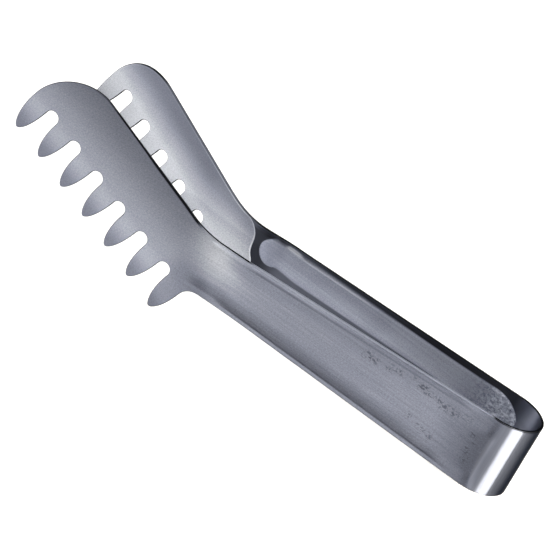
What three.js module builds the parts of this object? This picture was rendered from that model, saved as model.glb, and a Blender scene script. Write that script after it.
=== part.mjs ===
// Spaghetti tongs: one strip of spring steel, folded at a bow into two arms that end in combs.
// Millimetres, +Z up. The combs point to -X, the bow to +X, and the front half lies at -Y.
// The tongs stand on edge: on the bow's lower edge and on the tine of each comb nearest its arm.
import * as THREE from "three";

// Strip and bow
const sheet = 1.0;
const stripWidth = 27.5;
const bowRadius = 12.5; // outer face
const bowSteps = 24;
const flexGap = 0.3; // parting between the bow and each arm, where the strip flexes

// Arms, measured from the end of the bow towards the comb, heights over the arm's axis
const armSplay = 1.8; // degrees that each arm leans out from the middle plane
const armLength = 109.5;
const armEndTop = 7.8;
const armEndBottom = -12.8;

// Panel pressed inwards in each arm
const panelBorder = 1.0; // flat rim along the upper and lower edges
const panelDepth = 0.9;
const panelFlank = 2.0; // width of the sloping side
const panelCorner = 8.0;
const panelInset = 1.0; // from the arm's bow end
const panelSetback = 1.0; // from the arm's comb end
const panelSpans = 10; // stretches along the panel's straight part

// Comb, laid out from the corner where its upper edge turns up from the arm's
const seamGap = 0.3; // parting between the arm and its comb
const shoulder = 7.855; // arm's end to that corner, along the upper edge
const neck = 4.7; // arm's end to the side of the first tine, along the lower edge
const combRise = 22.75; // degrees that the comb turns up from the arm
const spineHeight = 17.9; // upper edge to the round ends of the slots
const endRadius = 19.3; // round outer end of the spine
const tineCount = 7;
const tinePitch = 12.78;
const tineLength = 17.8; // round ends of the slots to the tips
const tineFullness = 0.62; // lower is rounder
const slotWidth = 5.2;

// Out-of-plane forming of the comb
const combFlare = 4.3; // degrees that the comb leans out from the arm
const bendSetback = 12.5; // middle of that bend, back from the arm's end
const bendLength = 16.0;
const cupRadius = 50.0; // the comb is rolled about its length, hollow inside
const cupLine = 18.5; // deepest line of the hollow, below the upper edge
const cupSetback = 13.5; // where the hollow starts, back from the arm's end
const cupRun = 34.0; // length over which it reaches its full depth

// Mesh fineness
const rootSteps = 6; // across the root of a tine, closer together at its sides
const slotSteps = 6; // round the end of a slot
const neckSteps = 6;
const spineRows = [0, 0.35, 0.7, 1];
const tineRows = [0, 0.3, 0.55, 0.75, 0.88, 0.96, 0.985];

const { degToRad, lerp, clamp, smoothstep } = THREE.MathUtils;

// Edges of an arm
function armTop(along) {
  return lerp(stripWidth / 2, armEndTop, along / armLength);
}

function armBottom(along) {
  return lerp(-stripWidth / 2, armEndBottom, along / armLength);
}

// Flat layout of the comb: x along the arm's axis, y above it
const rise = degToRad(combRise);
const alongComb = new THREE.Vector2(Math.cos(rise), Math.sin(rise));
const downComb = new THREE.Vector2(Math.sin(rise), -Math.cos(rise));
const shoulderCorner = new THREE.Vector2(armLength + shoulder, armTop(armLength + shoulder));
const neckCorner = new THREE.Vector2(armLength + neck, armBottom(armLength + neck));

function combPoint(along, below) {
  return shoulderCorner.clone().addScaledVector(alongComb, along).addScaledVector(downComb, below);
}

function combPlace(point) {
  const offset = point.clone().sub(shoulderCorner);
  return { along: offset.dot(alongComb), below: offset.dot(downComb) };
}

const tineHalfWidth = (tinePitch - slotWidth) / 2;
const rootLine = spineHeight + slotWidth / 2;
const tipLine = spineHeight + tineLength;
const firstTine = combPlace(neckCorner).along + tineHalfWidth;
const combEnd = firstTine + (tineCount - 1) * tinePitch + tineHalfWidth;

// Half width of a tine at a distance below the upper edge
function tineHalf(below) {
  const share = clamp((below - rootLine) / (tipLine - rootLine), 0, 1);
  return tineHalfWidth * (1 - share * share) ** tineFullness;
}

// Depth of the pressed panel
function panelPress(point) {
  const fromEnds = Math.min(point.x - panelInset, armLength - panelSetback - point.x);
  const fromEdges = Math.min(armTop(point.x) - point.y, point.y - armBottom(point.x)) - panelBorder;
  let inside = Math.min(fromEnds, fromEdges);
  if (fromEnds < panelCorner && fromEdges < panelCorner) {
    inside = panelCorner - Math.hypot(panelCorner - fromEnds, panelCorner - fromEdges);
  }
  return panelDepth * clamp(inside / panelFlank, 0, 1);
}

// Lean of the comb away from the arm's plane, with a round bend
function combLean(along) {
  const half = bendLength / 2;
  const past = along - (armLength - bendSetback);
  const run = past > half ? past : clamp(past + half, 0, bendLength) ** 2 / (2 * bendLength);
  return run * Math.tan(degToRad(combFlare));
}

// Inward curl of the comb's upper edge and tines
function combCurl(point) {
  const start = armLength - cupSetback;
  const offLine = combPlace(point).below - cupLine;
  return (smoothstep(point.x, start, start + cupRun) * offLine * offLine) / (2 * cupRadius);
}

// How far the outer face stands out from the arm's plane
function standOut(point) {
  return combLean(point.x) - combCurl(point) - panelPress(point);
}

// Closed sheet formed over flat grids of points; side is -1 for the front half and 1 for the rear
function formedSheet(grids, side) {
  const points = [];
  const numbers = new Map();
  const numberOf = (point) => {
    const key = `${point.x.toFixed(4)} ${point.y.toFixed(4)}`;
    if (!numbers.has(key)) {
      numbers.set(key, points.length);
      points.push(point);
    }
    return numbers.get(key);
  };

  const flat = [];
  const addFlat = (a, b, c) => {
    const [p, q, r] = [points[a], points[b], points[c]];
    const turn = (q.x - p.x) * (r.y - p.y) - (q.y - p.y) * (r.x - p.x);
    flat.push(turn > 0 ? [a, b, c] : [a, c, b]);
  };
  for (const rows of grids) {
    for (let i = 0; i + 1 < rows.length; i++) {
      for (let j = 0; j + 1 < rows[i].length; j++) {
        const [a, b] = [numberOf(rows[i][j]), numberOf(rows[i][j + 1])];
        const [c, d] = [numberOf(rows[i + 1][j + 1]), numberOf(rows[i + 1][j])];
        addFlat(a, b, c);
        addFlat(a, c, d);
      }
    }
  }

  const positions = [];
  for (const inward of [0, sheet]) {
    for (const point of points) {
      positions.push(-point.x, side * (bowRadius + standOut(point) - inward), point.y);
    }
  }

  const count = points.length;
  const triangles = [];
  const edges = new Set(flat.flatMap(([a, b, c]) => [`${a} ${b}`, `${b} ${c}`, `${c} ${a}`]));
  for (const [a, b, c] of flat) {
    triangles.push([a, b, c], [a + count, c + count, b + count]);
    for (const [from, to] of [[a, b], [b, c], [c, a]]) {
      if (!edges.has(`${to} ${from}`)) {
        triangles.push([to, from, from + count], [to, from + count, to + count]);
      }
    }
  }

  const geometry = new THREE.BufferGeometry();
  geometry.setAttribute("position", new THREE.Float32BufferAttribute(positions, 3));
  geometry.setIndex(triangles.flatMap(([a, b, c]) => (side > 0 ? [a, b, c] : [a, c, b])));
  geometry.computeVertexNormals();
  return geometry;
}

// Rows of points across an arm, set where the panel's rim, flank and floor begin
function armGrid() {
  const panelStart = panelInset;
  const panelEnd = armLength - panelSetback;
  const steps = [0, panelFlank, (panelFlank + panelCorner) / 2, panelCorner];
  const places = [flexGap, ...steps.map((step) => panelStart + step)];
  for (let i = 1; i < panelSpans; i++) {
    places.push(lerp(panelStart + panelCorner, panelEnd - panelCorner, i / panelSpans));
  }
  places.push(...steps.reverse().map((step) => panelEnd - step), armLength);
  return places.map((along) => {
    const low = armBottom(along);
    const high = armTop(along);
    const floorLow = low + panelBorder + panelFlank;
    const floorHigh = high - panelBorder - panelFlank;
    const floor = [0, 0.25, 0.5, 0.75, 1].map((share) => lerp(floorLow, floorHigh, share));
    const heights = [low, low + panelBorder, ...floor, high - panelBorder, high];
    return heights.map((height) => new THREE.Vector2(along, height));
  });
}

// Upper edge of the comb, from the arm round to the outer side of the last tine
function combUpperEdge() {
  const start = armLength + seamGap;
  const turned = combPoint(shoulder, 0);
  const flatEnd = combPoint(combEnd - endRadius, 0);
  const centre = combPoint(combEnd - endRadius, endRadius);
  const edge = new THREE.Path();
  edge.moveTo(start, armTop(start));
  edge.quadraticCurveTo(shoulderCorner.x, shoulderCorner.y, turned.x, turned.y);
  edge.lineTo(flatEnd.x, flatEnd.y);
  edge.absarc(centre.x, centre.y, endRadius, rise + Math.PI / 2, rise, true);
  return edge;
}

// Point of the upper edge at a distance along the comb, found by halving
function upperPoint(edge, along) {
  let before = 0;
  let after = 1;
  while (after - before > 1e-9) {
    const between = (before + after) / 2;
    if (combPlace(edge.getPoint(between)).along < along) {
      before = between;
    } else {
      after = between;
    }
  }
  return edge.getPoint(after);
}

// Place across a tine, from -1 on its arm side to 1 on its outer side
function acrossTine(step) {
  return -Math.cos((Math.PI * step) / rootSteps);
}

// Root of each tine, as points from its arm side to its outer side
function tineRoots() {
  const roots = [];
  for (let tine = 0; tine < tineCount; tine++) {
    const middle = firstTine + tine * tinePitch;
    const armSideLine = tine === 0 ? combPlace(neckCorner).below + neck : rootLine;
    const root = [];
    for (let step = 0; step <= rootSteps; step++) {
      const across = acrossTine(step);
      const line = lerp(armSideLine, rootLine, (across + 1) / 2);
      root.push(combPoint(middle + across * tineHalfWidth, line));
    }
    roots.push(root);
  }
  return roots;
}

// Flat grids of the comb: the spine with its neck, then the tines
function combGrids() {
  const roots = tineRoots();
  const start = armLength + seamGap;
  const fillet = new THREE.QuadraticBezierCurve(
    new THREE.Vector2(start, armBottom(start)),
    neckCorner,
    roots[0][0],
  );
  const lowerEdge = fillet.getPoints(neckSteps).slice(0, -1);
  roots.forEach((root, tine) => {
    lowerEdge.push(...root);
    if (tine + 1 < tineCount) {
      const middle = firstTine + (tine + 0.5) * tinePitch;
      for (let step = 1; step < slotSteps; step++) {
        const angle = (Math.PI * step) / slotSteps;
        const along = middle - (slotWidth / 2) * Math.cos(angle);
        lowerEdge.push(combPoint(along, rootLine - (slotWidth / 2) * Math.sin(angle)));
      }
    }
  });

  // Columns stand square to the spine, and fan out from the seam up to the first slot
  const upperEdge = combUpperEdge();
  const seamLow = combPlace(lowerEdge[0]).along;
  const seamHigh = combPlace(upperEdge.getPoint(0)).along;
  const firstSlot = firstTine + tineHalfWidth;
  const spine = lowerEdge.map((low) => {
    const { along } = combPlace(low);
    const fanned = lerp(seamHigh, firstSlot, (along - seamLow) / (firstSlot - seamLow));
    const high = upperPoint(upperEdge, along < firstSlot ? fanned : along);
    return spineRows.map((row) => low.clone().lerp(high, row));
  });

  const tines = roots.map((root, tine) => {
    const middle = firstTine + tine * tinePitch;
    return tineRows.map((row) =>
      root.map((rootPoint, step) => {
        if (row === 0) {
          return rootPoint;
        }
        const below = lerp(combPlace(rootPoint).below, tipLine, row);
        return combPoint(middle + acrossTine(step) * tineHalf(below), below);
      }),
    );
  });
  return [spine, ...tines];
}

// Half ring between the two arms
function bowGeometry() {
  const reach = Math.PI / 2 - degToRad(armSplay);
  const ring = new THREE.Shape();
  ring.absarc(0, 0, bowRadius, -reach, reach, false);
  ring.absarc(0, 0, bowRadius - sheet, reach, -reach, true);
  const bow = new THREE.ExtrudeGeometry(ring, {
    depth: stripWidth,
    bevelEnabled: false,
    curveSegments: bowSteps,
  });
  return bow.translate(0, 0, -stripWidth / 2);
}

function steelPiece(name, geometry, roughness) {
  const steel = new THREE.MeshStandardMaterial({ color: 0x8a8e98, metalness: 1, roughness });
  const mesh = new THREE.Mesh(geometry, steel);
  mesh.name = name;
  return mesh;
}

const tongs = new THREE.Group();
tongs.add(steelPiece("spring_bow", bowGeometry(), 0.15));
for (const [name, side] of [["front", -1], ["rear", 1]]) {
  const half = new THREE.Group();
  half.rotation.z = -side * degToRad(armSplay);
  half.add(steelPiece(`${name}_arm`, formedSheet([armGrid()], side), 0.35));
  half.add(steelPiece(`${name}_comb`, formedSheet(combGrids(), side), 0.4));
  tongs.add(half);
}

// Stood on the bow's lower edge and the first tines, with the origin below the middle of its box
const splay = degToRad(armSplay);
const toe = combPoint(firstTine, tipLine);
const toeX = Math.sin(splay) * (bowRadius + standOut(toe)) - Math.cos(splay) * toe.x;
tongs.rotation.y = Math.atan2(-stripWidth / 2 - toe.y, bowRadius - toeX);
tongs.updateMatrixWorld(true);
const box = new THREE.Box3().setFromObject(tongs, true);
const middle = box.getCenter(new THREE.Vector3());
tongs.position.set(-middle.x, -middle.y, -box.min.z);
tongs.updateMatrixWorld(true);

export default tongs;
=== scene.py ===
import math

import bpy
import numpy as np
from mathutils import Matrix, Vector


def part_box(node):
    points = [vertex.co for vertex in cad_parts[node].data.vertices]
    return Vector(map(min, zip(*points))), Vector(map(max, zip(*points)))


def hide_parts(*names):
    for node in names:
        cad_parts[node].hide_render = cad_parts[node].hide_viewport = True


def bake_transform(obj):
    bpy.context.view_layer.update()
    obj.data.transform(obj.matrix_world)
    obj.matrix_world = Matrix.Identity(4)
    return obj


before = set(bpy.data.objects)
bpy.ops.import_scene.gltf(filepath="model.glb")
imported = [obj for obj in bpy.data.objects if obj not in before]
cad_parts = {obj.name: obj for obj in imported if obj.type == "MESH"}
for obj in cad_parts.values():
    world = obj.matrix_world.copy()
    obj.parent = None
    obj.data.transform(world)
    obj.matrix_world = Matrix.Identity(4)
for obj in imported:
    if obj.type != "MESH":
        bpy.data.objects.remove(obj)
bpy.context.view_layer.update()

millimetre = 0.001

# Strip and bow, in millimetres
sheet = 1.0
strip_width = 27.5
bow_radius = 12.5
edge_round = 0.22

# Arms
arm_splay = 1.8
arm_length = 109.5
arm_end_top = 7.8
arm_end_bottom = -12.8

# Panel pressed inwards in each arm
panel_upper_border = 0.9
panel_lower_border = 1.4
panel_depth = 0.9
panel_upper_cove = 1.4
panel_lower_cove = 5.5
panel_fall = 3.0
panel_start = 1.0
panel_start_ramp = 16.0
panel_end = 113.0
panel_end_slant = 0.5
panel_end_ramp = 9.0

# Comb
shoulder = 7.855
neck = 4.7
comb_rise = 22.75
spine_height = 17.9
end_radius = 19.3
tine_count = 7
tine_pitch = 12.78
tine_length = 17.8
tine_fullness = 0.62
slot_width = 5.2
comb_flare = 4.3
bend_setback = 12.5
bend_length = 16.0
cup_radius = 50.0
cup_line = 18.5
cup_setback = 13.5
cup_run = 34.0

# Mesh fineness, with the places of the rows as shares of a border and of a cove beside it
bow_steps = 44
arm_steps = 150
floor_steps = 12
root_steps = 16
edge_bend_steps = 60
edge_arc_steps = 400
slot_steps = 10
neck_steps = 10
tine_steps = 22
tip_share = 0.95
border_shares = (0, 0.4, 0.8)
cove_shares = (0, 0.05, 0.1, 0.16, 0.24, 0.35, 0.5, 0.7, 1)
rim_angles = [math.radians(angle) for angle in (30, 60, 90)]
slope_step = 0.02
weld_digits = 4
crown_slack = 1e-6

# Material slots of each half
outer_slot, inner_slot, rim_slot = range(3)


def smooth_share(value):
    share = np.clip(value, 0, 1)
    return share * share * (3 - 2 * share)


def arm_top(along):
    share = np.maximum(along, 0) / arm_length
    return strip_width / 2 + (arm_end_top - strip_width / 2) * share


def arm_bottom(along):
    share = np.maximum(along, 0) / arm_length
    return -strip_width / 2 + (arm_end_bottom + strip_width / 2) * share


# Flat layout of the comb: first number along the arm's axis, second above it
rise = math.radians(comb_rise)
comb_axis = np.array([math.cos(rise), math.sin(rise)])
down_comb = np.array([math.sin(rise), -math.cos(rise)])
shoulder_corner = np.array([arm_length + shoulder, arm_top(arm_length + shoulder)])
neck_corner = np.array([arm_length + neck, arm_bottom(arm_length + neck)])


def comb_point(along, below):
    return shoulder_corner + along * comb_axis + below * down_comb


def comb_place(point):
    offset = np.asarray(point) - shoulder_corner
    return offset @ comb_axis, offset @ down_comb


tine_half_width = (tine_pitch - slot_width) / 2
root_line = spine_height + slot_width / 2
tip_line = spine_height + tine_length
first_tine = comb_place(neck_corner)[0] + tine_half_width
comb_end = first_tine + (tine_count - 1) * tine_pitch + tine_half_width


def panel_edges(along, height):
    """Distances inside the upper and lower borders of the panel."""
    upper = arm_top(along) - height - panel_upper_border
    lower = height - arm_bottom(along) - panel_lower_border
    return upper, lower


def panel_share(along, height):
    """How far the panel has its full depth: it runs out at both ends, aslant at the comb."""
    start = smooth_share((along - panel_start) / panel_start_ramp)
    end = smooth_share((panel_end + panel_end_slant * height - along) / panel_end_ramp)
    return start * end


def panel_press(along, height):
    """Depth of the panel, steep beside its borders and flattening to its floor."""
    upper, lower = panel_edges(along, height)
    inside = np.minimum(
        np.clip(upper / panel_upper_cove, 0, 1),
        np.clip(lower / panel_lower_cove, 0, 1),
    )
    return panel_depth * (1 - (1 - inside) ** panel_fall) * panel_share(along, height)


def comb_lean(along):
    half = bend_length / 2
    past = along - (arm_length - bend_setback)
    bent = np.clip(past + half, 0, bend_length) ** 2 / (2 * bend_length)
    return np.where(past > half, past, bent) * math.tan(math.radians(comb_flare))


def comb_below(along, height):
    """Distance below the upper edge of the comb."""
    from_shoulder = along - shoulder_corner[0]
    return from_shoulder * down_comb[0] + (height - shoulder_corner[1]) * down_comb[1]


def comb_along(along, height):
    """Distance along the comb from its shoulder."""
    from_shoulder = along - shoulder_corner[0]
    return from_shoulder * comb_axis[0] + (height - shoulder_corner[1]) * comb_axis[1]


def comb_curl(along, height):
    start = arm_length - cup_setback
    off_line = comb_below(along, height) - cup_line
    return smooth_share((along - start) / cup_run) * off_line ** 2 / (2 * cup_radius)


def outer_face(along, height):
    """Outer face of the rear half before it is splayed, with the middle of the bow at the origin."""
    turn = np.minimum(along, 0) / bow_radius
    straight = np.maximum(along, 0)
    out = comb_lean(straight) - comb_curl(straight, height) - panel_press(straight, height)
    x = -straight - bow_radius * np.sin(turn)
    y = bow_radius * np.cos(turn) + out
    return np.stack([x, y, height], axis=-1)


def outer_normal(along, height):
    across = outer_face(along + slope_step, height) - outer_face(along - slope_step, height)
    upward = outer_face(along, height + slope_step) - outer_face(along, height - slope_step)
    normal = np.cross(across, upward)
    return normal / np.linalg.norm(normal, axis=-1, keepdims=True)


# Standing place: pitched onto the bow's lower edge and the first tines, as the frame has it
splay = math.radians(arm_splay)
toe = comb_point(first_tine, tip_line)
toe_out = outer_face(np.array(toe[0]), np.array(toe[1]))
toe_x = math.sin(splay) * toe_out[1] + math.cos(splay) * toe_out[0]
pitch = math.atan2(-strip_width / 2 - toe[1], bow_radius - toe_x)
pitch_turn = np.array(Matrix.Rotation(pitch, 3, "Y"))
bow_low, bow_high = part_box("spring_bow")
bow_corner = pitch_turn @ np.array([bow_radius, 0, strip_width / 2])
bow_foot = pitch_turn @ np.array([bow_radius, 0, -strip_width / 2])
bow_middle = np.array([
    bow_high.x / millimetre - bow_corner[0],
    0.0,
    bow_low.z / millimetre - bow_foot[2],
])


def standing(points):
    return (points @ pitch_turn.T + bow_middle) * millimetre


# Flat grids of one half
def edge_offsets(border, cove):
    """Distances from a strip edge to the rows beside it, out to the panel's floor."""
    rim = [border * share for share in border_shares]
    flank = [border + cove * share for share in cove_shares]
    return np.array(rim + flank)


def arm_row(along):
    low = arm_bottom(along) + edge_round
    high = arm_top(along) - edge_round
    lower = low + edge_offsets(panel_lower_border, panel_lower_cove)
    upper = (high - edge_offsets(panel_upper_border, panel_upper_cove))[::-1]
    floor = np.linspace(lower[-1], upper[0], floor_steps + 1)[1:-1]
    heights = np.concatenate([lower, floor, upper])
    return np.stack([np.full_like(heights, along), heights], axis=-1)


def strip_grid():
    bow_arc = bow_radius * (math.pi / 2 - splay)
    bow_places = np.linspace(-bow_arc, 0, bow_steps + 1)[:-1]
    arm_places = np.linspace(0, arm_length, arm_steps + 1)
    return [arm_row(along) for along in np.concatenate([bow_places, arm_places])]


def quadratic(start, control, end, steps):
    share = np.linspace(0, 1, steps + 1)[:, None]
    return (1 - share) ** 2 * start + 2 * share * (1 - share) * control + share ** 2 * end


def upper_edge():
    """Upper edge of the comb, set in from the finished outline by the edge's rounding."""
    start = np.array([arm_length, arm_top(arm_length)])
    turned = comb_point(shoulder, 0)
    bend = quadratic(start, shoulder_corner, turned, edge_bend_steps)
    tangent = np.gradient(bend, axis=0)
    tangent /= np.linalg.norm(tangent, axis=1, keepdims=True)
    inset = bend + edge_round * np.stack([tangent[:, 1], -tangent[:, 0]], axis=1)
    inset[0] = [arm_length, arm_top(arm_length) - edge_round]
    middle = comb_end - end_radius
    radius = end_radius - edge_round
    arc = [
        comb_point(middle + radius * math.sin(angle), end_radius - radius * math.cos(angle))
        for angle in np.linspace(0, math.pi / 2, edge_arc_steps)
    ]
    return np.concatenate([inset, arc])


def across_tine(step):
    return -math.cos(math.pi * step / root_steps)


def tine_half(share, width):
    return width * (1 - share ** 2) ** tine_fullness


def tine_grid(tine):
    """Rows of points down a tine, the last one round its tip."""
    middle = first_tine + tine * tine_pitch
    width = tine_half_width - edge_round
    arm_side = comb_place(neck_corner)[1] + neck if tine == 0 else root_line
    end_half = tine_half(tip_share, width)
    rows = []
    for step_down in range(tine_steps + 1):
        down = step_down / tine_steps
        half = tine_half(down * tip_share, width)
        row = []
        for step in range(root_steps + 1):
            across = across_tine(step)
            root = arm_side + (root_line - arm_side) * (across + 1) / 2
            tip = math.sqrt(1 - (abs(across) * end_half / width) ** (1 / tine_fullness))
            below = root + down * tip * (tip_line - edge_round - root)
            row.append(comb_point(middle + across * half, below))
        rows.append(np.array(row))
    return rows


def comb_grids():
    tines = [tine_grid(tine) for tine in range(tine_count)]
    seam_low = np.array([arm_length, arm_bottom(arm_length) + edge_round])
    seam_high = np.array([arm_length, arm_top(arm_length) - edge_round])
    corner = neck_corner + edge_round * (comb_axis + np.array([0, 1]))
    lower = list(quadratic(seam_low, corner, tines[0][0][0], neck_steps)[:-1])
    slot_radius = slot_width / 2 + edge_round
    for tine in range(tine_count):
        lower.extend(tines[tine][0])
        if tine + 1 < tine_count:
            middle = first_tine + (tine + 0.5) * tine_pitch
            for step in range(1, slot_steps):
                angle = math.pi * step / slot_steps
                along = middle - slot_radius * math.cos(angle)
                lower.append(comb_point(along, root_line - slot_radius * math.sin(angle)))

    edge = upper_edge()
    edge_along = comb_place(edge)[0]
    low_place = comb_place(seam_low)[0]
    high_place = comb_place(seam_high)[0]
    first_slot = first_tine + tine_half_width - edge_round
    row_heights = arm_row(arm_length)[:, 1]
    shares = (row_heights - row_heights[0]) / (row_heights[-1] - row_heights[0])
    spine = []
    for low in lower:
        along = comb_place(low)[0]
        if along < first_slot:
            share = (along - low_place) / (first_slot - low_place)
            along = high_place + (first_slot - high_place) * share
        high = np.array([np.interp(along, edge_along, edge[:, axis]) for axis in (0, 1)])
        spine.append(low + shares[:, None] * (high - low))
    return [spine] + tines


def weld(grids):
    """Points and four-sided faces of the grids, each face turning left."""
    numbers = {}
    points = []
    faces = []

    def number_of(point):
        key = (round(point[0], weld_digits), round(point[1], weld_digits))
        if key not in numbers:
            numbers[key] = len(points)
            points.append(point)
        return numbers[key]

    for rows in grids:
        numbered = [[number_of(point) for point in row] for row in rows]
        for near, far in zip(numbered, numbered[1:]):
            for face in zip(near, near[1:], far[1:], far):
                corners = [points[index] for index in face]
                sides = zip(corners, corners[1:] + corners[:1])
                area = sum(here[0] * there[1] - here[1] * there[0] for here, there in sides)
                faces.append(face if area > 0 else face[::-1])
    return np.array(points), faces


def outline_of(points, faces):
    """Edges with a face on one side only, those at the crown of the bow kept apart."""
    directed = {side for face in faces for side in zip(face, face[1:] + face[:1])}
    crown = points[:, 0].min() + crown_slack
    edges = []
    crown_edges = []
    for start, end in sorted(directed):
        if (end, start) not in directed:
            at_crown = points[start, 0] < crown and points[end, 0] < crown
            kind = crown_edges if at_crown else edges
            kind.append((start, end))
    return edges, crown_edges


def outward_directions(points, edges):
    """Flat direction out of the sheet at each point of its outline."""
    total = np.zeros_like(points)
    for start, end in edges:
        step = points[end] - points[start]
        side = np.array([step[1], -step[0]]) / np.linalg.norm(step)
        total[start] += side
        total[end] += side
    length = np.linalg.norm(total, axis=1, keepdims=True)
    return total / np.where(length > 0, length, 1)


def rim_profile():
    """Angles round a cut edge, each with whether it lies on the outer side."""
    outer = [(angle, True) for angle in rim_angles]
    inner = [(angle, False) for angle in rim_angles[::-1]]
    return outer + inner


def sheet_layers(points, rim_points, outward):
    """Flat place, formed place and normal of each vertex: both faces, then the rings of the rim."""
    face = outer_face(*points.T)
    normal = outer_normal(*points.T)
    flat = [points, points]
    places = [face, face - sheet * normal]
    normals = [normal, -normal]
    rim_flat = points[rim_points]
    rim_out = outward[rim_points]
    for angle, outer in rim_profile():
        spread = rim_flat + edge_round * math.sin(angle) * rim_out
        spread_face = outer_face(*spread.T)
        spread_normal = outer_normal(*spread.T)
        sunk = edge_round * (1 - math.cos(angle))
        depth = sunk if outer else sheet - sunk
        further = outer_face(*(spread + slope_step * rim_out).T) - spread_face
        further /= np.linalg.norm(further, axis=1, keepdims=True)
        facing = spread_normal if outer else -spread_normal
        flat.append(spread)
        places.append(spread_face - depth * spread_normal)
        normals.append(math.cos(angle) * facing + math.sin(angle) * further)
    return np.concatenate(flat), np.concatenate(places), np.concatenate(normals)


def sheet_polygons(faces, edges, crown_edges, rim_points, count):
    """Polygons of the closed sheet, each with its material's slot."""
    rim_number = {index: place for place, index in enumerate(rim_points)}
    rings = [2 * count + ring * len(rim_points) for ring in range(len(rim_profile()))]

    def rim_loop(index):
        place = rim_number[index]
        return [index] + [ring + place for ring in rings] + [index + count]

    polygons = [(corners, outer_slot) for corners in faces]
    polygons += [(tuple(index + count for index in corners[::-1]), inner_slot) for corners in faces]
    for start, end in edges:
        first = rim_loop(start)
        second = rim_loop(end)
        polygons += [(corners, rim_slot) for corners in zip(second, first, first[1:], second[1:])]
    following = dict(crown_edges)
    crown_row = [next(index for index in following if index not in following.values())]
    while crown_row[-1] in following:
        crown_row.append(following[crown_row[-1]])
    cap = crown_row + rim_loop(crown_row[-1])[1:-1]
    cap += [index + count for index in crown_row[::-1]] + rim_loop(crown_row[0])[1:-1][::-1]
    polygons.append((tuple(cap[::-1]), rim_slot))
    return polygons


def add_value(mesh, name, values):
    attribute = mesh.attributes.new(name, "FLOAT", "POINT")
    attribute.data.foreach_set("value", values.astype(np.float32))


def half_mesh(name, side, materials, wear):
    """One half of the strip, from the crown of the bow to the tines, as a closed sheet."""
    points, faces = weld([strip_grid()] + comb_grids())
    edges, crown_edges = outline_of(points, faces)
    rim_points = sorted({index for edge in edges for index in edge})
    flat, places, normals = sheet_layers(points, rim_points, outward_directions(points, edges))
    polygons = sheet_polygons(faces, edges, crown_edges, rim_points, len(points))
    mirror = np.array([1, side, 1])
    turn = np.array(Matrix.Rotation(-side * splay, 3, "Z"))
    places = (places * mirror) @ turn.T
    normals = (normals * mirror) @ turn.T @ pitch_turn.T
    corners = [polygon if side > 0 else polygon[::-1] for polygon, _ in polygons]

    mesh = bpy.data.meshes.new(name)
    mesh.from_pydata(standing(places).tolist(), [], corners)
    mesh.polygons.foreach_set("material_index", [slot for _, slot in polygons])
    mesh.polygons.foreach_set("use_smooth", [True] * len(polygons))
    layer = mesh.uv_layers.new(name="strip")
    loop_vertex = np.zeros(len(mesh.loops), int)
    mesh.loops.foreach_get("vertex_index", loop_vertex)
    layer.data.foreach_set("uv", flat[loop_vertex].astype(np.float32).ravel())
    for value_name, value in finish_values.items():
        add_value(mesh, value_name, value(flat[:, 0], flat[:, 1]))
    add_value(mesh, "grip_wear", np.full(len(flat), wear))
    mesh.update()
    lengths = np.linalg.norm(normals, axis=1, keepdims=True)
    mesh.normals_split_custom_set_from_vertices((normals / lengths).tolist())
    for material in materials:
        mesh.materials.append(material)
    piece = bpy.data.objects.new(name, mesh)
    bpy.context.scene.collection.objects.link(piece)
    return piece


# Finish of the steel and its painted light and shade: its lines and patches, in millimetres on the
# flat strip
polish_start = -1.3
polish_curve = 0.011
head_border = 112.0
head_border_cubic = 0.0095
head_border_reach = (-6.5, 9.0)
pill_start = -3.7
pill_start_corner = 14.0
pill_end = 103.55
pill_head_drop = 6.6
pill_head_radius = 5.2
pill_margin = 2.0
pill_margin_loss = 0.58
pill_margin_run = (22.0, 88.0)
pill_step_run = (93.0, 99.0)
pill_step_rise = 0.26
pill_neck_run = (98.3, 100.3)
pill_neck_margin = 1.5
# The panel's lower side: the edge of a painted dark reflection of the near arm
pill_width = 11.5
pill_notch = 0.7
pill_notch_run = (90.0, 100.0)
pill_hidden_low = -11.0
pill_low_softness = 0.45
pill_low_run = (10.0, 32.0)
pit_paths = [
    [(49.0, 5.0), (41.0, 5.8), (31.0, 7.2), (25.0, 7.0), (17.6, 5.6), (10.4, 6.2), (7.8, 7.4)],
    [(4.6, 9.4), (3.6, 3.8), (2.8, -2.6), (3.0, -5.8)],
    [(26.0, -5.0), (17.0, -6.5)],
]
# Painted highlight on the bend at the neck: its middle, turn, length and width
neck_middle = np.array([110.2, 3.0])
neck_turn = 30.0
neck_length = 10.5
neck_width = 6.0


def run_share(value, run):
    return smooth_share((value - run[0]) / (run[1] - run[0]))


def edge_drop(along, height):
    """Distance below the upper edge of the arm."""
    return arm_top(along) - height


def edge_rise(along, height):
    """Distance above the lower edge of the arm."""
    return height - arm_bottom(along)


def polish_line(along, height):
    """Distance past the line where the polish of the bow meets the brushing of the arm."""
    return along - (polish_start - polish_curve * height ** 2)


def comb_drop(along, height):
    """Distance below the upper edge of the comb, which bends away from the arm."""
    edge = upper_edge()
    return (np.interp(along, edge[:, 0], edge[:, 1]) - height) * comb_axis[0]


def head_line(along, height):
    """Distance past the wavy line where the polished inner border meets the satin comb."""
    level = np.clip(height, *head_border_reach)
    return along - (head_border + head_border_cubic * level ** 3)


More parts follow.
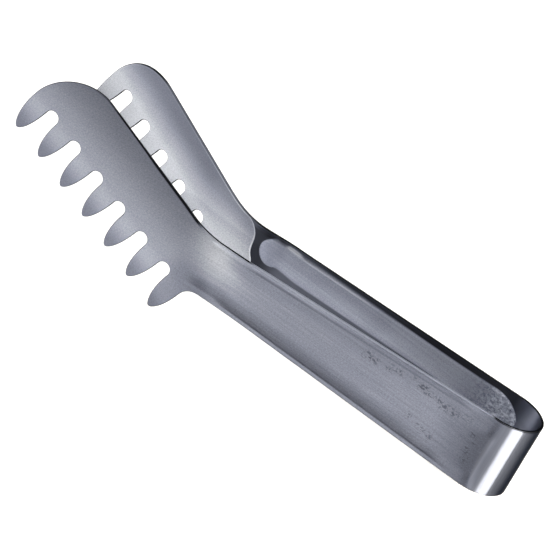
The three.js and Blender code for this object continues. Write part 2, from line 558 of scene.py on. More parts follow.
def pill_line(along, height):
    """Distance inside the matt inner panel, round at both ends, with a step near the comb; its lower
    side is the edge of a painted dark reflection of the near arm, mostly at a set width below the
    upper edge.
    """
    drop = edge_drop(along, height)
    margin = pill_margin - pill_margin_loss * run_share(along, pill_margin_run)
    margin = margin - pill_step_rise * run_share(along, pill_step_run)
    margin = margin + (pill_neck_margin - margin) * run_share(along, pill_neck_run)
    width = pill_width - pill_notch * run_share(along, pill_notch_run)
    # Lower side: the edge of the near arm's painted dark reflection
    seen = run_share(along, pill_low_run)
    above_low = seen * (width - drop) + (1 - seen) * (height - pill_hidden_low)
    from_edges = np.minimum(drop - margin, above_low * pill_low_softness)
    from_start = along - pill_start
    corner = pill_start_corner
    rounded = corner - np.hypot(corner - from_start, corner - from_edges)
    in_corner = (from_start < corner) & (from_edges < corner)
    body = np.minimum(np.where(in_corner, rounded, from_edges), pill_end - along)
    head = pill_head_radius - np.hypot(along - pill_end, drop - pill_head_drop)
    return np.maximum(body, head)


def pit_line(along, height):
    """Distance from a path of scattered pits on the grip."""
    nearest = np.full_like(along, strip_width)
    places = np.stack([along, height], axis=-1)
    for path in pit_paths:
        for start, end in zip(path, path[1:]):
            start = np.array(start)
            step = np.array(end) - start
            share = np.clip((places - start) @ step / (step @ step), 0, 1)
            distance = np.linalg.norm(places - start - share[:, None] * step, axis=1)
            nearest = np.minimum(nearest, distance)
    return nearest


def neck_highlight(along, height):
    """Share of the painted highlight on the bend where the panel runs out into the comb."""
    across = np.stack([along, height], axis=-1) - neck_middle
    turn = math.radians(neck_turn)
    length = across @ np.array([math.cos(turn), math.sin(turn)]) / neck_length
    width = across @ np.array([-math.sin(turn), math.cos(turn)]) / neck_width
    return np.exp(-length ** 2 - width ** 2)


finish_values = {
    "comb_along": comb_along,
    "comb_below": comb_below,
    "comb_drop": comb_drop,
    "neck_highlight": neck_highlight,
    "polish_line": polish_line,
    "head_line": head_line,
    "pill_line": pill_line,
    "pit_line": pit_line,
    "edge_drop": edge_drop,
    "edge_rise": edge_rise,
    "panel_share": panel_share,
}

# Steel in general: tints by the brightness shown, and noises by their swings to a millimetre
dark_tint = (0.735, 0.785, 1.0)
pale_tint = (0.895, 0.925, 1.0)
tint_run = (0.1, 0.7)
grazing_tint = (0.337, 0.336, 0.335)
coarse_streaks = (0.035, 1.1, 3.0)
fine_streaks = (0.12, 3.0)
steel_grain = (1.5, 3.4)
steel_clouds = (0.05, 0.07, 3.0)
noise_middle = 0.5
grain_swing = 0.65
cloud_roughness = 0.06
brushing_turn = 0.25
polished_relief = 0.2
relief = 0.002


class Shading:
    """A steel material, built up from nodes."""

    def __init__(self, name):
        self.material = bpy.data.materials.new(name)
        self.material.use_nodes = True
        self.tree = self.material.node_tree
        self.shader = self.tree.nodes["Principled BSDF"]
        self.strip = self.node("ShaderNodeUVMap", uv_map="strip").outputs["UV"]
        place = self.node("ShaderNodeSeparateXYZ")
        self.feed(place.inputs[0], self.strip)
        self.along = place.outputs["X"]

    def node(self, kind, **settings):
        made = self.tree.nodes.new(kind)
        for name, value in settings.items():
            setattr(made, name, value)
        return made

    def feed(self, socket, value):
        if isinstance(value, bpy.types.NodeSocket):
            self.tree.links.new(value, socket)
        else:
            socket.default_value = value

    def math(self, operation, first, second=0.0):
        made = self.node("ShaderNodeMath", operation=operation)
        self.feed(made.inputs[0], first)
        self.feed(made.inputs[1], second)
        return made.outputs[0]

    def sum(self, *values):
        total = values[0]
        for value in values[1:]:
            total = self.math("ADD", total, value)
        return total

    def product(self, *values):
        total = values[0]
        for value in values[1:]:
            total = self.math("MULTIPLY", total, value)
        return total

    def spread(self, value, low, high, to_low=0.0, to_high=1.0):
        """Value carried smoothly from one range to another."""
        made = self.node("ShaderNodeMapRange", interpolation_type="SMOOTHSTEP")
        for socket, number in zip(made.inputs, (value, low, high, to_low, to_high)):
            self.feed(socket, number)
        return made.outputs[0]

    def line(self, value, middle, core, reach):
        """Share of a soft line where the value passes its middle."""
        distance = self.math("ABSOLUTE", self.math("SUBTRACT", value, middle))
        return self.spread(distance, core, reach, 1.0, 0.0)

    def between(self, share, first, second):
        """Value between two others."""
        made = self.node("ShaderNodeMix", data_type="FLOAT")
        self.feed(made.inputs[0], share)
        self.feed(made.inputs[2], first)
        self.feed(made.inputs[3], second)
        return made.outputs[0]

    def attribute(self, name):
        return self.node("ShaderNodeAttribute", attribute_name=name).outputs["Fac"]

    def noise(self, per_along, per_across, detail=2.0, distortion=0.0):
        """Noise with that many swings to a millimetre along the strip and across it."""
        mapping = self.node("ShaderNodeMapping")
        self.feed(mapping.inputs["Vector"], self.strip)
        mapping.inputs["Scale"].default_value = (per_along, per_across, 1)
        made = self.node("ShaderNodeTexNoise", noise_dimensions="2D")
        self.feed(made.inputs["Vector"], mapping.outputs[0])
        made.inputs["Scale"].default_value = 1.0
        made.inputs["Detail"].default_value = detail
        made.inputs["Distortion"].default_value = distortion
        return made.outputs["Fac"]

    def swing(self, noise, amount):
        """Noise as a swing of that amount to either side of nothing."""
        return self.math("MULTIPLY", self.math("SUBTRACT", noise, noise_middle), amount)

    def finish(self, brightness, shown, roughness, height, anisotropy):
        """Set the shader: the steel is bluish where it shows dark and paler where it shows bright."""
        tint = self.node("ShaderNodeCombineColor")
        paler = self.spread(shown, *tint_run)
        for channel, dark, pale in zip(tint.inputs, dark_tint, pale_tint):
            self.feed(channel, self.product(brightness, self.between(paler, dark, pale)))
        self.feed(self.shader.inputs["Base Color"], tint.outputs[0])
        self.feed(self.shader.inputs["Roughness"], roughness)
        bump = self.node("ShaderNodeBump")
        bump.inputs["Distance"].default_value = relief * millimetre
        self.feed(bump.inputs["Height"], height)
        self.feed(self.shader.inputs["Normal"], bump.outputs[0])
        tangent = self.node("ShaderNodeTangent", direction_type="UV_MAP", uv_map="strip")
        self.feed(self.shader.inputs["Tangent"], tangent.outputs[0])
        self.shader.inputs["Anisotropic"].default_value = anisotropy
        self.shader.inputs["Anisotropic Rotation"].default_value = brushing_turn
        self.shader.inputs["Metallic"].default_value = 1.0
        self.shader.inputs["Specular Tint"].default_value = (*grazing_tint, 1)
        return self.material


# Outer face: a ramp gives two places and the level at each, a line its middle, core and reach
polish_edge = (-0.2, 0.2)
# Painted highlight along the polish line, on the lower part of the bow
polish_rim = (0.0, 0.8, 2.6)
polish_rim_drop = (5.0, 9.0, 0.0, 0.028)
# Bow: polished, its low level a painted dark reflection, darkest at the crown
bow_ramp = (-16.0, -12.5, 0.054, 0.09)
bow_start_ramp = (-10.5, -7.0, 0.0, -0.021)
bow_shown = 0.3
bow_streaks = (1.6, 0.03)
bow_streak_swing = 0.3
# Painted dark line across the bow where its reflected band of light ends
band_edge_shade = (-10.7, 0.05, 0.35)
band_edge_shade_loss = 0.4
# Arm and comb: painted shade towards the bow and painted light towards the comb, painted light down
# the comb and at its roots, painted shade at the tips
arm_ramp = (-1.0, 22.0, 0.14, 0.275)
arm_end_ramp = (55.0, 100.0, 0.0, 0.035)
comb_run = (108.0, 124.0)
outer_comb_level = 0.285
outer_comb_ramp = (0.5, 16.5, 0.0, 0.09)
outer_root_ramp = (17.0, 21.5, 0.0, 0.045)
outer_tip_ramp = (22.0, 33.0, 0.0, -0.2)
# Level of the painted highlight at the neck
neck_highlight_level = 0.61
# Painted light on the panel's border and a painted highlight along the arm's upper edge
border_ramp = (1.7, 2.2, 1.0, 0.0)
border_end = (92.0, 103.0, 1.0, 0.0)
border_gain_ramp = (35.0, 75.0, -0.25, 0.12)
border_start_ramp = (8.0, 18.0, 0.25, 0.0)
border_end_ramp = (78.0, 88.0, 0.0, -0.1)
bright_edge_ramp = (0.2, 0.6, 0.25, 0.0)
# Painted shade in the panel's creases and along the arm's lower edge
upper_crease = (2.4, 0.15, 0.8)
upper_crease_ramp = (72.0, 86.0, 0.3, 0.42)
lower_crease = (1.75, 0.1, 0.5)
lower_crease_loss = 0.25
low_edge_ramp = (0.15, 0.45, 0.45, 0.0)
# Painted shade just inside the panel's upper and lower borders
high_shade_drop = (2.2, 2.8)
high_shade_fall = (4.5, 8.5, 1.0, 0.0)
high_shade_ramp = (10.0, 20.0, 0.0, 0.12)
high_shade_neck_ramp = (92.0, 101.0, 0.0, 0.07)
high_shade_end = (103.0, 109.0, 1.0, 0.0)
low_shade_rise = (1.9, 2.8)
low_shade_fall = (4.2, 8.0, 1.0, 0.0)
low_shade_ramp = (14.0, 30.0, 0.0, 0.2)
low_shade_neck_ramp = (90.0, 106.0, 0.0, 0.1)
low_shade_end = (110.0, 118.0, 1.0, 0.0)
# Painted shade where the arm leaves the bow, painted light near its edges, and a painted dark
# reflection along the bow's upper edge
start_high = (5.5, 8.5, 1.0, 0.0)
start_low = (3.5, 6.0, 1.0, 0.0)
start_floor_ramp = (0.0, 8.0, 0.24, 0.0)
start_edge_ramp = (0.4, 3.4, 0.45, 0.0)
start_gain_run = (6.0, 2.5, 7.0)
start_gain = 0.22
bow_edge_ramp = (0.32, 0.58, 0.95, 0.0)
bow_edge_end = (-0.5, 1.5, 1.0, 0.0)
# Painted shade round the heel of the comb
heel_place = (-6.0, 4.0, 0.26, 0.0)
heel_start = (7.5, 14.5)
heel_end = (23.5, 29.5, 1.0, 0.0)
heel_arm_end = (102.0, 112.0)
# Painted dark reflection along the comb's upper edge
comb_edge_ramp = (0.24, 0.48, 0.97, 0.0)
comb_edge_narrowing = (142.0, 156.0, 0.55, 1.0)
comb_edge_start = (118.5, 122.5)
comb_edge_end = (160.0, 180.0, 1.0, 0.0)
pit_specks = (0.8, 1.1, 4.0, 0.8)
pit_speck_cut = (0.51, 0.6)
pit_gaps = (0.16, 0.22, 1.0)
pit_gap_cut = (0.42, 0.56)
pit_reach = (0.4, 2.6, 1.0, 0.0)
pit_loss = 0.4
pit_roughness = 0.12
grip_wear = {"front": 1.0, "rear": 0.15}
comb_streak_ramp = (105.0, 125.0, 1.0, 0.4)
outer_coarse_swing = 0.3
outer_fine_swing = 0.3
outer_cloud_swing = 0.15
outer_coarse_relief = 0.6
outer_fine_relief = 0.3
outer_roughness = (0.33, 0.38)
outer_coarse_roughness = 0.04
outer_anisotropy = 0.97


def outer_levels(steel, arm):
    """Brightness of the bow, the arm, its comb and the painted highlight at the neck, with painted
    light and shade in the ramps along the arm and down the comb.
    """
    below = steel.attribute("comb_below")
    # Comb, painted lighter towards the roots and darker at the tips
    combed = steel.sum(
        outer_comb_level,
        steel.spread(below, *outer_comb_ramp),
        steel.spread(below, *outer_root_ramp),
        steel.spread(below, *outer_tip_ramp),
    )
    # Arm, painted darker towards the bow and lighter towards the comb
    brushed = steel.sum(
        steel.spread(steel.along, *arm_ramp),
        steel.spread(steel.along, *arm_end_ramp),
    )
    brushed = steel.between(steel.spread(steel.along, *comb_run), brushed, combed)
    # Painted highlight on the bend at the neck
    brushed = steel.between(steel.attribute("neck_highlight"), brushed, neck_highlight_level)
    # Polished bow, painted dark as its reflection, darkest at the crown
    bow = steel.sum(
        steel.spread(steel.along, *bow_ramp),
        steel.spread(steel.along, *bow_start_ramp),
    )
    return steel.between(arm, bow, brushed)


def panel_length(steel):
    """Share of the panel's borders that stand out, fading before the neck."""
    return steel.product(steel.attribute("panel_share"), steel.spread(steel.along, *border_end))


def outer_gains(steel):
    """Share of painted light on the border of the panel and of a painted highlight along its edge,
    over the panel's floor.
    """
    drop = steel.attribute("edge_drop")
    border_gain = steel.sum(
        steel.spread(steel.along, *border_gain_ramp),
        steel.spread(steel.along, *border_start_ramp),
        steel.spread(steel.along, *border_end_ramp),
    )
    border = steel.product(steel.spread(drop, *border_ramp), border_gain)
    gains = steel.sum(border, steel.spread(drop, *bright_edge_ramp))
    return steel.product(gains, panel_length(steel))


def start_losses(steel):
    """Share of painted shade where the arm leaves the bow, less a painted light near its edges there,
    and of a painted dark reflection along the bow's upper edge.
    """
    line = steel.attribute("polish_line")
    drop = steel.attribute("edge_drop")
    edges = steel.math(
        "MAXIMUM",
        steel.spread(drop, *start_high),
        steel.spread(steel.attribute("edge_rise"), *start_low),
    )
    start = steel.between(
        edges,
        steel.spread(line, *start_floor_ramp),
        steel.spread(line, *start_edge_ramp),
    )
    gain = steel.product(edges, steel.line(steel.along, *start_gain_run), start_gain)
    start = steel.product(steel.math("SUBTRACT", start, gain), steel.spread(line, *polish_edge))
    # Painted dark reflection along the bow's upper edge
    bow_edge = steel.product(
        steel.spread(drop, *bow_edge_ramp),
        steel.spread(steel.along, *bow_edge_end),
    )
    return steel.sum(start, bow_edge)


def outer_losses(steel):
    """Share of the brightness taken off by painted shade: in the panel's creases, just inside its
    borders, along the lower edge, round the heel of the comb and where the arm leaves the bow, and by
    painted dark lines along the upper edges and across the bow.
    """
    drop = steel.attribute("edge_drop")
    rise = steel.attribute("edge_rise")
    # Painted shade in the creases and along the lower edge
    creases = steel.sum(
        steel.product(steel.line(drop, *upper_crease), steel.spread(steel.along, *upper_crease_ramp)),
        steel.product(steel.line(rise, *lower_crease), lower_crease_loss),
        steel.spread(rise, *low_edge_ramp),
    )
    creases = steel.product(creases, panel_length(steel))
    high_shade = steel.product(
        steel.spread(drop, *high_shade_drop),
        steel.spread(drop, *high_shade_fall),
        steel.sum(
            steel.spread(steel.along, *high_shade_ramp),
            steel.spread(steel.along, *high_shade_neck_ramp),
        ),
        steel.spread(steel.along, *high_shade_end),
    )
    low_shade = steel.product(
        steel.spread(rise, *low_shade_rise),
        steel.spread(rise, *low_shade_fall),
        steel.sum(
            steel.spread(steel.along, *low_shade_ramp),
            steel.spread(steel.along, *low_shade_neck_ramp),
        ),
        steel.spread(steel.along, *low_shade_end),
    )
    below = steel.attribute("comb_below")
    # Painted shade round the heel of the comb
    heel = steel.product(
        steel.spread(steel.attribute("comb_along"), *heel_place),
        steel.spread(below, *heel_start),
        steel.spread(below, *heel_end),
        steel.spread(steel.along, *heel_arm_end),
    )
    # Painted dark reflection along the comb's upper edge
    narrowing = steel.spread(steel.along, *comb_edge_narrowing)
    narrowed = steel.product(steel.attribute("comb_drop"), narrowing)
    painted_comb_edge = steel.product(
        steel.spread(narrowed, *comb_edge_ramp),
        steel.spread(steel.along, *comb_edge_start),
        steel.spread(steel.along, *comb_edge_end),
    )
    # Painted dark line across the bow where its reflected band of light ends
    band_edge_line = steel.product(steel.line(steel.along, *band_edge_shade), band_edge_shade_loss)
    start = start_losses(steel)
    return steel.sum(creases, high_shade, low_shade, heel, painted_comb_edge, band_edge_line, start)


def outer_pits(steel):
    """Share of the scattered pits on the grip."""
    specks = steel.spread(steel.noise(*pit_specks), *pit_speck_cut)
    gaps = steel.spread(steel.noise(*pit_gaps), *pit_gap_cut)
    near = steel.spread(steel.attribute("pit_line"), *pit_reach)
    return steel.product(specks, gaps, near, steel.attribute("grip_wear"))


def make_outer_steel():
    steel = Shading("outer_steel")
    line = steel.attribute("polish_line")
    arm = steel.spread(line, *polish_edge)
    bow = steel.math("SUBTRACT", 1.0, arm)
    coarse = steel.noise(*coarse_streaks)
    fine = steel.noise(*fine_streaks)
    cloud = steel.noise(*steel_clouds)
    pits = outer_pits(steel)
    # Painted highlight along the line where the polish meets the brushing
    polish_glint = steel.product(
        steel.line(line, *polish_rim),
        steel.spread(steel.attribute("edge_drop"), *polish_rim_drop),
        bow,
    )
    level = steel.sum(outer_levels(steel, arm), polish_glint)
    streaks = steel.sum(
        steel.swing(coarse, outer_coarse_swing),
        steel.swing(fine, outer_fine_swing),
    )
    # Brushing, with the painted light on the panel's border
    brushing = steel.sum(
        steel.product(streaks, steel.spread(steel.along, *comb_streak_ramp)),
        steel.swing(steel.noise(*steel_grain), grain_swing),
        outer_gains(steel),
    )
    varied = steel.sum(
        1.0,
        steel.product(brushing, arm),
        steel.product(steel.swing(steel.noise(*bow_streaks), bow_streak_swing), bow),
        steel.swing(cloud, outer_cloud_swing),
    )
    # Brightness lost to the pits and to painted shade
    lost = steel.sum(steel.product(pits, pit_loss), outer_losses(steel))
    level = steel.product(level, varied, steel.math("SUBTRACT", 1.0, lost))
    roughness = steel.sum(
        steel.between(arm, *outer_roughness),
        steel.swing(cloud, cloud_roughness),
        steel.swing(coarse, outer_coarse_roughness),
        steel.product(pits, pit_roughness),
    )
    height = steel.sum(
        steel.product(coarse, outer_coarse_relief),
        steel.product(fine, outer_fine_relief),
    )
    height = steel.product(height, steel.between(arm, polished_relief, 1.0))
    height = steel.math("SUBTRACT", height, pits)
    shown = steel.between(arm, bow_shown, level)
    return steel.finish(level, shown, roughness, height, outer_anisotropy)


# Inner face
pill_edge = (-0.15, 0.25)
# Painted highlights along the panel's upper rim and at its step
pill_rim = (0.65, 0.15, 0.6)
pill_rim_ramp = (50.0, 75.0, 0.15, 0.7)
pill_rim_dip = (86.0, 92.0, 0.0, -0.2)
pill_rim_end_ramp = (97.5, 100.5, 1.0, 0.25)
pill_rim_drop = (4.0, 6.0, 1.0, 0.0)
pill_glint_drop = (1.7, 0.12, 0.4)
pill_glint_run = (96.3, 1.4, 4.6)
pill_glint_gain = 1.8
# Painted shade just inside the panel's lower edge
pill_fade = (0.0, 1.0, 0.15, 0.0)
pill_fade_drop = (6.0, 8.0)
head_edge = (-0.12, 0.12)
# Painted highlight along the border of the comb
head_rim = (0.3, 0.1, 0.5)
head_rim_gain = 0.6
# Polished border: its low level is a painted dark reflection, with painted light and shade along it
polished_ramp = (-3.0, 3.0, 0.22, 0.055)
polished_end_ramp = (35.0, 60.0, 0.0, 0.04)
polished_head_ramp = (97.0, 107.0, 0.0, -0.054)
polished_low_ramp = (9.0, 11.5, 0.0, 0.05)
polished_low_end = (97.0, 107.0, 1.0, 0.0)
polished_top_ramp = (1.2, 2.0, 0.06, 0.0)
polished_top_start = (78.0, 90.0)
polished_roughness_ramp = (-3.0, 3.0, 0.32, 0.4)
# Matt panel: painted light and shade along it
matt_ramp = (5.0, 13.0, 0.6, 0.38)
matt_middle_ramp = (14.0, 28.0, 0.0, 0.07)
matt_end_ramp = (96.0, 103.0, 0.0, -0.11)
matt_upper_ramp = (5.5, 8.5, -0.05, 0.0)
matt_upper_start = (45.0, 60.0)
matt_upper_end = (100.0, 104.0, 1.0, 0.0)
satin_roughness = 0.42
# Satin comb: painted light growing down the comb and near the neck
inner_comb_level = 0.182
inner_comb_ramp = (3.5, 18.5, 0.0, 0.235)
inner_neck_ramp = (114.0, 142.0, 0.2, 0.0)
inner_neck_below = (0.5, 7.5, 0.35, 1.0)
# Painted highlight along the comb's upper edge
inner_edge = (0.15, 0.15, 0.55)
inner_edge_ramp = (124.0, 165.0, 0.75, 0.15)
inner_edge_start = (116.0, 121.0)
# Painted light at the roots and painted shade at the tips of the comb
inner_root_ramp = (14.0, 19.0, 0.0, 0.085)
inner_tip_ramp = (25.5, 34.5, 0.0, -0.3)
inner_shown = (0.7, 1.3)
mottle_noise = (0.75, 0.9, 5.0, 0.7)
mottle_run = (6.0, 22.0, 1.0, 0.0)
mottle_swing = 2.4
mottle_relief = 6.0
inner_coarse_swing = 0.3
inner_fine_swing = 0.2
inner_cloud_swing = 0.25
inner_coarse_relief = 0.5
inner_fine_relief = 0.3
inner_anisotropy = 0.6
inner_brightest = 1.0


def inner_levels(steel, satin, head):
    """Brightness of the polished border, the matt panel and the satin comb: the polished border's low
    level is a painted dark reflection, and the ramps along the strip and down the comb are painted
    light and shade.
    """
    below = steel.attribute("comb_below")
    drop = steel.attribute("edge_drop")
    polished_low = steel.product(
        steel.spread(drop, *polished_low_ramp),
        steel.spread(steel.along, *polished_low_end),
    )
    polished_top = steel.product(
        steel.spread(drop, *polished_top_ramp),
        steel.spread(steel.along, *polished_top_start),
    )
    # Polished border, painted dark as its reflection
    polished = steel.sum(
        steel.spread(steel.along, *polished_ramp),
        steel.spread(steel.along, *polished_end_ramp),
        steel.spread(steel.along, *polished_head_ramp),
        polished_low,
        polished_top,
    )
    neck_gain = steel.product(
        steel.spread(steel.along, *inner_neck_ramp),
        steel.spread(below, *inner_neck_below),
    )
    # Satin comb, with painted light and shade
    combed = steel.sum(
        inner_comb_level,
        steel.spread(below, *inner_comb_ramp),
        neck_gain,
        steel.spread(below, *inner_root_ramp),
        steel.spread(below, *inner_tip_ramp),
    )
    matt_upper = steel.product(
        steel.spread(drop, *matt_upper_ramp),
        steel.spread(steel.along, *matt_upper_start),
        steel.spread(steel.along, *matt_upper_end),
    )
    # Matt panel, with painted light and shade along it
    matt = steel.sum(
        steel.spread(steel.along, *matt_ramp),
        steel.spread(steel.along, *matt_middle_ramp),
        steel.spread(steel.along, *matt_end_ramp),
        matt_upper,
    )
    return steel.between(satin, polished, steel.between(head, matt, combed))


def inner_gains(steel):
    """Share of painted highlights along the upper rim of the matt panel, at its step, at the border
    of the comb and along the comb's upper edge, less a painted shade just inside the panel's lower
    edge.
    """
    line = steel.attribute("pill_line")
    drop = steel.attribute("edge_drop")
    # Painted highlights along the panel's upper rim and at its step
    pill_rims = steel.sum(
        steel.product(
            steel.line(line, *pill_rim),
            steel.sum(
                steel.spread(steel.along, *pill_rim_ramp),
                steel.spread(steel.along, *pill_rim_dip),
            ),
            steel.spread(steel.along, *pill_rim_end_ramp),
        ),
        steel.product(
            steel.line(drop, *pill_glint_drop),
            steel.line(steel.along, *pill_glint_run),
            pill_glint_gain,
        ),
    )
    upper_rim = steel.product(pill_rims, steel.spread(drop, *pill_rim_drop))
    # Painted shade just inside the panel's lower edge
    fade = steel.product(steel.spread(line, *pill_fade), steel.spread(drop, *pill_fade_drop))
    # Painted highlight along the border of the comb
    comb_rim = steel.product(steel.line(steel.attribute("head_line"), *head_rim), head_rim_gain)
    # Painted highlight along the comb's upper edge
    painted_comb_edge = steel.product(
        steel.line(steel.attribute("comb_drop"), *inner_edge),
        steel.spread(steel.along, *inner_edge_ramp),
        steel.spread(steel.along, *inner_edge_start),
    )
    return steel.math("SUBTRACT", steel.sum(upper_rim, comb_rim, painted_comb_edge), fade)


def make_inner_steel():
    steel = Shading("inner_steel")
    pill = steel.spread(steel.attribute("pill_line"), *pill_edge)
    head = steel.spread(steel.attribute("head_line"), *head_edge)
    satin = steel.math("MAXIMUM", pill, head)
    coarse = steel.noise(*coarse_streaks)
    fine = steel.noise(*fine_streaks)
    cloud = steel.noise(*steel_clouds)
    mottle = steel.noise(*mottle_noise)
    mottled = steel.product(steel.spread(steel.along, *mottle_run), pill)
    streaks = steel.sum(
        steel.swing(coarse, inner_coarse_swing),
        steel.swing(fine, inner_fine_swing),
    )
    brushing = steel.sum(
        steel.product(streaks, steel.spread(steel.along, *comb_streak_ramp)),
        steel.swing(steel.noise(*steel_grain), grain_swing),
        steel.swing(cloud, inner_cloud_swing),
    )
    # Brushing and mottling, with the painted highlights and shade
    varied = steel.sum(
        1.0,
        steel.product(brushing, satin),
        steel.product(steel.swing(mottle, mottle_swing), mottled),
        inner_gains(steel),
    )
    level = steel.product(inner_levels(steel, satin, head), varied)
    level = steel.math("MINIMUM", level, inner_brightest)
    glossy = steel.spread(steel.along, *polished_roughness_ramp)
    roughness = steel.sum(
        steel.between(satin, glossy, satin_roughness),
        steel.swing(cloud, cloud_roughness),
    )
    height = steel.sum(
        steel.product(coarse, inner_coarse_relief),
        steel.product(fine, inner_fine_relief),
    )
    height = steel.product(height, steel.between(satin, polished_relief, 1.0))
    height = steel.sum(height, steel.product(mottle, mottled, mottle_relief))
    shown = steel.product(level, steel.between(head, *inner_shown))
    return steel.finish(level, shown, roughness, height, inner_anisotropy)


# Cut edges: painted dark, with painted light where they would catch it, set for each half by levels
# on the arm and the comb
rim_level = 0.02
# A lit copy for each half: painted light on the front arm's upper edge and on the rear comb's upper
# edge
rim_levels = {"front": (0.4, rim_level), "rear": (0.03, 0.13)}
rim_low_level = 0.08
rim_low_run = (1.0, 3.0)
rim_arm_start = (0.2, 2.0)
rim_arm_end = (96.5, 99.5, 1.0, 0.0)
rim_comb_start = (112.0, 116.0)
rim_comb_end = (168.0, 174.0, 1.0, 0.0)
rim_comb_below = (1.1, 2.5, 1.0, 0.0)
rim_noise = (0.2, 0.2, 3.0)
rim_swing = 0.01
rim_roughness = 0.4
rim_roughness_swing = 0.1
rim_shown = 0.3


def make_rim_steel(name, arm_level, comb_level):
    steel = Shading(name)
    coarse = steel.noise(*rim_noise)
    arm = steel.product(
        steel.spread(steel.along, *rim_arm_start),
        steel.spread(steel.along, *rim_arm_end),
    )
    comb = steel.product(
        steel.spread(steel.along, *rim_comb_start),
        steel.spread(steel.along, *rim_comb_end),
        steel.spread(steel.attribute("comb_below"), *rim_comb_below),
    )
    low = steel.spread(steel.attribute("edge_drop"), *rim_low_run)
    arm_edge = steel.between(low, arm_level, rim_low_level)
    level = steel.between(comb, steel.between(arm, rim_level, arm_edge), comb_level)
    level = steel.sum(level, steel.swing(coarse, rim_swing))
    roughness = steel.sum(rim_roughness, steel.swing(coarse, rim_roughness_swing))
    return steel.finish(level, rim_shown, roughness, coarse, 0.0)


outer_steel = make_outer_steel()
inner_steel = make_inner_steel()
# A lit copy of the rim steel for each half
rim_steels = {
    name: make_rim_steel(f"{name}_rim_steel", *levels) for name, levels in rim_levels.items()
}

# Both halves, which bend with the bow from its crown to the arms
for name, side in (("front", -1), ("rear", 1)):
    materials = (outer_steel, inner_steel, rim_steels[name])
    half = half_mesh(f"{name}_strip", side, materials, grip_wear[name])
    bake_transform(half)
    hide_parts(f"{name}_arm", f"{name}_comb", "spring_bow")

# Floor, pale out to its far edge, and a plain backdrop round it, in metres
white = (1, 1, 1, 1)
black = (0, 0, 0, 1)
floor_colour = (0.86, 0.86, 0.86, 1)
floor_roughness = 0.9
stage_radius = 4.0
stage_height = 3.0
stage_sides = 64
floor_glow_run = (0.5, 1.3)


def pale_floor():
    """Material that glows white far from the object, where the lights don't reach."""
    material = bpy.data.materials.new("pale_floor")
    material.use_nodes = True
    nodes = material.node_tree.nodes
    link = material.node_tree.links.new
    shader = nodes["Principled BSDF"]
    shader.inputs["Base Color"].default_value = floor_colour
    shader.inputs["Roughness"].default_value = floor_roughness
    shader.inputs["Emission Color"].default_value = white
    place = nodes.new("ShaderNodeNewGeometry")
    distance = nodes.new("ShaderNodeVectorMath")
    distance.operation = "LENGTH"
    link(place.outputs["Position"], distance.inputs[0])
    glow = nodes.new("ShaderNodeMapRange")
    glow.interpolation_type = "SMOOTHSTEP"
    glow.inputs["From Min"].default_value = floor_glow_run[0]
    glow.inputs["From Max"].default_value = floor_glow_run[1]
    link(distance.outputs["Value"], glow.inputs["Value"])
    link(glow.outputs["Result"], shader.inputs["Emission Strength"])
    return material


def plain_backdrop():
    material = bpy.data.materials.new("plain_backdrop")
    material.use_nodes = True
    shader = material.node_tree.nodes["Principled BSDF"]
    shader.inputs["Base Color"].default_value = black
    shader.inputs["Emission Color"].default_value = white
    shader.inputs["Emission Strength"].default_value = 1
    return material


def stage_piece(name, points, faces, material):
    mesh = bpy.data.meshes.new(name)
    mesh.from_pydata(points, [], faces)
    mesh.materials.append(material)
    piece = bpy.data.objects.new(name, mesh)
    bpy.context.scene.collection.objects.link(piece)
    return piece


def stage_ring(height):
    angles = [math.tau * side / stage_sides for side in range(stage_sides)]
    return [
        (stage_radius * math.cos(angle), stage_radius * math.sin(angle), height) for angle in angles
    ]


low_ring = stage_ring(0)
high_ring = stage_ring(stage_height)
sides = list(range(stage_sides))
walls = [
    (side, after, stage_sides + after, stage_sides + side)
    for side, after in zip(sides, sides[1:] + sides[:1])
]
stage_piece("floor", low_ring, [tuple(sides)], pale_floor())
backdrop = stage_piece("backdrop", low_ring + high_ring, walls, plain_backdrop())
backdrop.visible_glossy = False
backdrop.visible_diffuse = False
backdrop.visible_shadow = False


def soft_light(name, azimuth, elevation, distance, width, height, power, colour=(1, 1, 1)):
    """Area light that faces the object; azimuth 0 is in front of it and 90 beyond the bow."""
    data = bpy.data.lights.new(name, "AREA")
    data.shape = "RECTANGLE"
    data.size = width
    data.size_y = height
    data.energy = power
    data.color = colour
    light = bpy.data.objects.new(name, data)
    turn = math.radians(azimuth)
    lift = math.radians(elevation)
    level = math.cos(lift)
    toward = Vector((math.sin(turn) * level, -math.cos(turn) * level, math.sin(lift)))
    light.location = toward * distance
    light.rotation_mode = "QUATERNION"
    light.rotation_quaternion = toward.to_track_quat("Z", "Y")
    light.visible_camera = False
    bpy.context.scene.collection.objects.link(light)


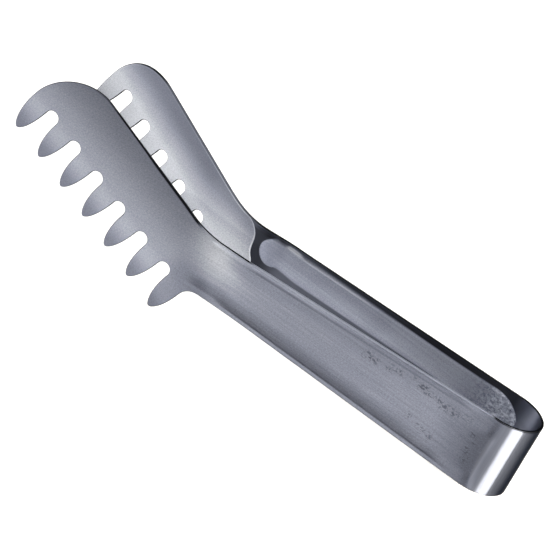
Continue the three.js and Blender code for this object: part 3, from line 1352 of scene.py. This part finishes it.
# Studio lights, in degrees, metres and watts, and a dim world
soft_light("left_front", -75, 35, 1.3, 0.7, 0.7, 13)
soft_light("left_back", -125, 35, 1.3, 0.7, 0.7, 8)
soft_light("right_back", 110, 50, 1.3, 0.7, 0.7, 6)
soft_light("right_front", 55, 50, 1.3, 0.7, 0.7, 10)
soft_light("band", 68, 6.5, 0.8, 0.42, 0.18, 54, (1, 0.96, 0.86))
soft_light("fill", 34, 10, 0.8, 0.4, 0.28, 4)
soft_light("back", 195, 30, 1.2, 0.5, 0.4, 1)

world_colour = (0.05, 0.05, 0.055, 1)
world = bpy.data.worlds.new("studio")
world.use_nodes = True
world.node_tree.nodes["Background"].inputs["Color"].default_value = world_colour
bpy.context.scene.world = world
bpy.context.scene.view_settings.view_transform = "Standard"

# Camera, fitted to the photograph
view_azimuth = math.radians(18.5008)
view_elevation = math.radians(25.5527)
view_roll = math.radians(-27.8601)
view_distance = 764.36
pixels_per_millimetre = 3.0228
image_size = 560
bow_pixel = (491.14, 440.17)
right = np.array([math.cos(view_azimuth), math.sin(view_azimuth), 0])
back = np.array([
    math.sin(view_azimuth) * math.cos(view_elevation),
    -math.cos(view_azimuth) * math.cos(view_elevation),
    math.sin(view_elevation),
])
up = np.cross(back, right)
rolled_right = math.cos(view_roll) * right - math.sin(view_roll) * up
rolled_up = math.sin(view_roll) * right + math.cos(view_roll) * up
offset_right = (bow_pixel[0] - image_size / 2) / pixels_per_millimetre
offset_up = (image_size / 2 - bow_pixel[1]) / pixels_per_millimetre
place = back * view_distance - rolled_right * offset_right - rolled_up * offset_up
camera_data = bpy.data.cameras.new("camera")
camera_data.lens = camera_data.sensor_width * pixels_per_millimetre * view_distance / image_size
camera = bpy.data.objects.new("camera", camera_data)
axes = pitch_turn @ np.stack([rolled_right, rolled_up, back], axis=1)
camera.matrix_world = Matrix.Translation(standing(place)) @ Matrix(axes.tolist()).to_4x4()
bpy.context.scene.collection.objects.link(camera)
bpy.context.scene.camera = camera
